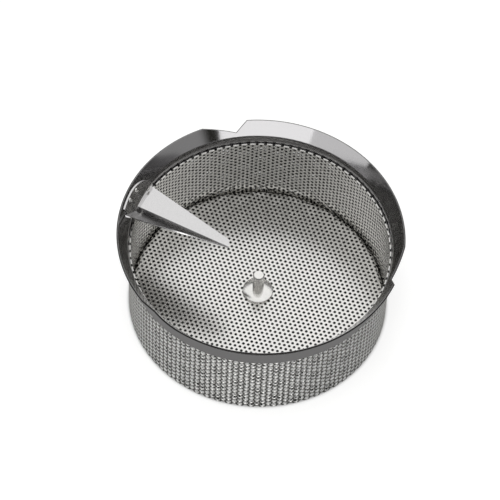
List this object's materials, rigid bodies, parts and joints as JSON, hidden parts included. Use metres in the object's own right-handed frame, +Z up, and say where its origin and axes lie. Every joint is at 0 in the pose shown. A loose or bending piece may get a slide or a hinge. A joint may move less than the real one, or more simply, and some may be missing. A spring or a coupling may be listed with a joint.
{
  "type": "food mill sieve basket",
  "caption": "Perforated sieve basket for a rotary food mill, with a flared notched ring round its mouth, a centre pin on its floor and a riveted deflector blade.",
  "frame": {"origin": "on the basket's axis, level with its bottom edge", "axes": "+Z up along the basket's axis and the centre pin, towards the mouth; -Y towards the viewer of the picture"},
  "size_m": [0.199, 0.199, 0.0787],
  "materials": {
    "perforated_steel": "satin",
    "ring_steel": "semi-bright",
    "blade_steel": "satin",
    "fastener_steel": "satin"
  },
  "bodies": {
    "root": {"sieve_floor": "perforated_steel", "sieve_wall": "perforated_steel", "support_wall": "perforated_steel", "rim_ring": "ring_steel", "deflector_blade": "blade_steel", "blade_rivets": "fastener_steel", "centre_pin": "fastener_steel", "pin_washer": "fastener_steel", "backing_washer": "fastener_steel"}
  },
  "joints": []
}
